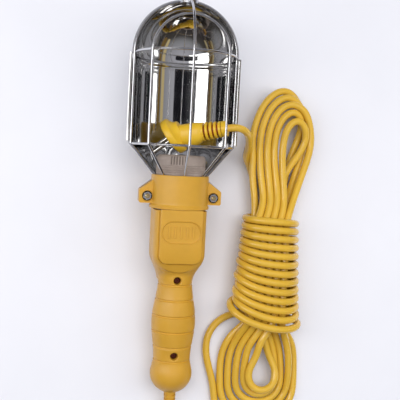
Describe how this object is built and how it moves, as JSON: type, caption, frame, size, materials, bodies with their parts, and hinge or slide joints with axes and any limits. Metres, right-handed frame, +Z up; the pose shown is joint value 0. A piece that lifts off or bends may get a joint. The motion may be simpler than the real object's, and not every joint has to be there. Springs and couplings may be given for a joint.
{
  "type": "hand inspection work light",
  "caption": "Hand-held inspection lamp with a wire guard, half-round chromed reflector, screw lampholder, waisted handle, hanging hook and a wrapped mains cord with plug.",
  "frame": {"origin": "middle of the lamp's footprint on the floor it lies on, cord left out", "axes": "+Z up from the floor; +Y along the lamp from the handle to the hook; +X towards the wrapped cord. The lamp lies on its back, tipped 7.6 degrees so that the reflector and the handle's end both touch the floor."},
  "size_m": [0.1757, 0.4505, 0.101],
  "materials": {
    "handle_plastic": "satin moulded plastic",
    "chrome_sheet": "bright chromed sheet",
    "chrome_wire": "bright chromed wire",
    "zinc_steel": "zinc plated",
    "holder_plastic": "matt moulded",
    "brass": "plain",
    "nickel": "nickel plated",
    "black_plastic": "satin black",
    "blue_pvc": "smooth PVC",
    "brown_pvc": "smooth PVC",
    "cord_pvc": "glossy soft PVC"
  },
  "bodies": {
    "lamp": {"handle_front_shell": "handle_plastic", "handle_rear_shell": "handle_plastic", "handle_screws": "zinc_steel", "clamp_front": "handle_plastic", "clamp_rear": "handle_plastic", "clamp_bolts": "zinc_steel", "clamp_nuts": "zinc_steel", "reflector": "chrome_sheet", "guard_side_hoop": "chrome_wire", "guard_front_hoop": "chrome_wire", "guard_centre_wire": "chrome_wire", "guard_upper_ring": "chrome_wire", "guard_lower_ring": "chrome_wire", "hook_bush": "chrome_wire", "lampholder_body": "holder_plastic", "thread_shell": "brass", "holder_base": "holder_plastic", "centre_contact": "brass", "holder_terminals": "brass", "terminal_screws": "zinc_steel", "switch_housing": "black_plastic", "switch_contacts": "brass", "live_wire": "brown_pvc", "neutral_wire": "blue_pvc", "switched_wire": "brown_pvc", "cord_clamp_bar": "zinc_steel", "cord_clamp_screws": "zinc_steel", "strain_relief": "handle_plastic", "inner_cord": "cord_pvc", "cord_tail": "cord_pvc", "cord_hank": "cord_pvc", "cord_lead": "cord_pvc", "plug_body": "handle_plastic", "plug_pins": "nickel"},
    "hook": {"hook": "chrome_wire"},
    "rocker": {"switch_rocker": "black_plastic"}
  },
  "joints": [
    {"name": "hook_swivel", "type": "hinge", "parent": "lamp", "child": "hook", "pos_m": [0, 0.15487, 0.06173], "axis": [0, 0.9906, 0.1365], "continuous": true},
    {"name": "switch_rock", "type": "hinge", "parent": "lamp", "child": "rocker", "pos_m": [0, -0.0386, 0.01528], "axis": [1, 0, 0], "range_deg": [0, 14]}
  ]
}
